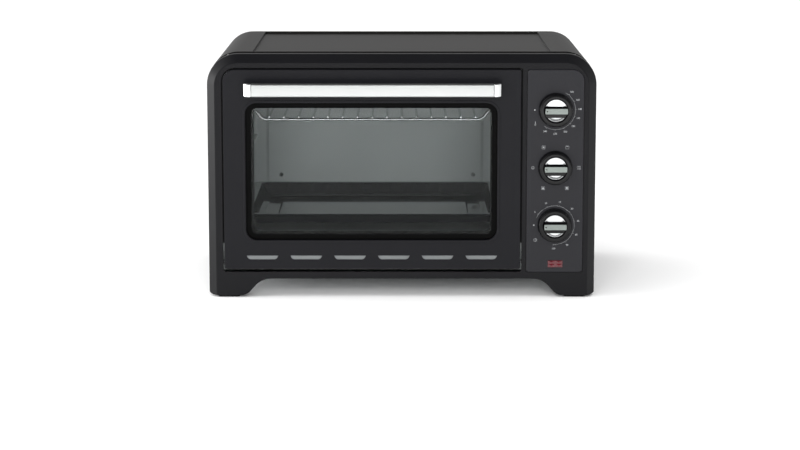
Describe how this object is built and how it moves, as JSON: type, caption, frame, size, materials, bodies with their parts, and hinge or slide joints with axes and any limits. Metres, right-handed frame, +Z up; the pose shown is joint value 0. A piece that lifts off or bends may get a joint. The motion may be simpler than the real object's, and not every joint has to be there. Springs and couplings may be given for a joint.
{
  "type": "toaster oven",
  "caption": "Countertop toaster oven with a drop-down glass door, bar handle, rotary controls, wire rack and baking tray.",
  "frame": {"origin": "on the surface the oven stands on, under the middle of its bounding box, which includes the handle in front and the wall spacers behind", "axes": "+X to the right seen from the front, +Y to the back (the door faces -Y), +Z up"},
  "size_m": [0.54, 0.411, 0.342],
  "materials": {
    "frame_black": "satin black stove paint",
    "cover_black": "fine textured black paint",
    "door_black": "satin black paint",
    "panel_grey": "dark grey satin moulding with printed dials",
    "knob_black": "black moulded skirt",
    "knob_silver": "satin chrome plated cap",
    "brushed_handle": "brushed along its length",
    "chrome_ends": "bright chrome plating",
    "door_glass": "clear toughened glass",
    "inner_steel": "dark heat-proof coating",
    "cavity_coating": "grey non-stick coating on steel",
    "zinc_steel": "zinc plated sheet",
    "spring_steel": "oiled spring steel",
    "element_sheath": "heat-darkened steel sheath",
    "copper_tube": "thin copper tube",
    "brass_bell": "pressed brass",
    "ceramic": "unglazed ceramic",
    "lamp_glass": "small neon lamp",
    "red_lens": "clear red moulding",
    "black_plastic": "moulded black plastic",
    "rubber": "matt black rubber",
    "fan_aluminium": "pressed aluminium blades",
    "rack_chrome": "bright chrome plated wire",
    "tray_enamel": "gloss black vitreous enamel on steel"
  },
  "bodies": {
    "oven": {"front_frame": "frame_black", "outer_cover": "cover_black", "back_panel": "cover_black", "base_plate": "zinc_steel", "cord_gland": "black_plastic", "front_foot_pad_left": "rubber", "front_foot_pad_right": "rubber", "rear_foot_left": "rubber", "rear_foot_right": "rubber", "rear_spacer_left": "black_plastic", "rear_spacer_right": "black_plastic", "cavity_liner": "cavity_coating", "heat_shield": "zinc_steel", "fan_housing": "zinc_steel", "fan_grille": "cavity_coating", "fan_motor": "zinc_steel", "upper_element_front": "element_sheath", "upper_element_rear": "element_sheath", "lower_element_front": "element_sheath", "lower_element_rear": "element_sheath", "thermostat_bulb": "copper_tube", "control_panel": "panel_grey", "control_bracket": "zinc_steel", "indicator_lens": "red_lens", "indicator_lamp": "lamp_glass", "thermostat_body": "ceramic", "selector_switch": "black_plastic", "timer_body": "zinc_steel", "timer_bell": "brass_bell", "terminal_block": "ceramic", "hinge_bracket_left": "zinc_steel", "hinge_bracket_right": "zinc_steel", "door_spring_left": "spring_steel", "door_spring_right": "spring_steel"},
    "door": {"door_frame": "door_black", "door_glass": "door_glass", "glass_seal": "rubber", "door_inner_frame": "inner_steel", "door_handle": "brushed_handle", "handle_end_left": "chrome_ends", "handle_end_right": "chrome_ends", "handle_screw_left": "zinc_steel", "handle_screw_right": "zinc_steel", "hinge_pin_left": "spring_steel", "hinge_pin_right": "spring_steel", "stay_arm_left": "zinc_steel", "stay_arm_right": "zinc_steel"},
    "temperature_knob": {"temperature_knob_skirt": "knob_black", "temperature_knob_cap": "knob_silver", "temperature_knob_shaft": "zinc_steel"},
    "function_knob": {"function_knob_skirt": "knob_black", "function_knob_cap": "knob_silver", "function_knob_shaft": "zinc_steel"},
    "timer_knob": {"timer_knob_skirt": "knob_black", "timer_knob_cap": "knob_silver", "timer_knob_shaft": "zinc_steel"},
    "fan": {"fan_rotor": "fan_aluminium"},
    "rack": {"wire_rack": "rack_chrome"},
    "tray": {"baking_tray": "tray_enamel"}
  },
  "joints": [
    {"name": "door_hinge", "type": "hinge", "parent": "oven", "child": "door", "pos_m": [0, -0.164, 0.05], "axis": [1, 0, 0], "range_deg": [0, 90]},
    {"name": "temperature_turn", "type": "hinge", "parent": "oven", "child": "temperature_knob", "pos_m": [0.213, -0.1725, 0.264], "axis": [0, 1, 0], "range_deg": [0, 300]},
    {"name": "function_turn", "type": "hinge", "parent": "oven", "child": "function_knob", "pos_m": [0.213, -0.1725, 0.1833], "axis": [0, 1, 0], "range_deg": [0, 300]},
    {"name": "timer_turn", "type": "hinge", "parent": "oven", "child": "timer_knob", "pos_m": [0.213, -0.1725, 0.1026], "axis": [0, 1, 0], "range_deg": [0, 272]},
    {"name": "fan_spin", "type": "hinge", "parent": "oven", "child": "fan", "pos_m": [0.16, 0.0195, 0.196], "axis": [1, 0, 0], "continuous": true},
    {"name": "rack_slide", "type": "slide", "parent": "oven", "child": "rack", "axis": [0, -1, 0], "range_m": [0, 0.16]},
    {"name": "tray_slide", "type": "slide", "parent": "oven", "child": "tray", "axis": [0, -1, 0], "range_m": [0, 0.065]}
  ],
  "couplings": [
    {"joint": "rack_slide", "follows": "door_hinge", "m_per_rad": 0.1},
    {"joint": "tray_slide", "follows": "door_hinge", "m_per_rad": 0.04}
  ]
}
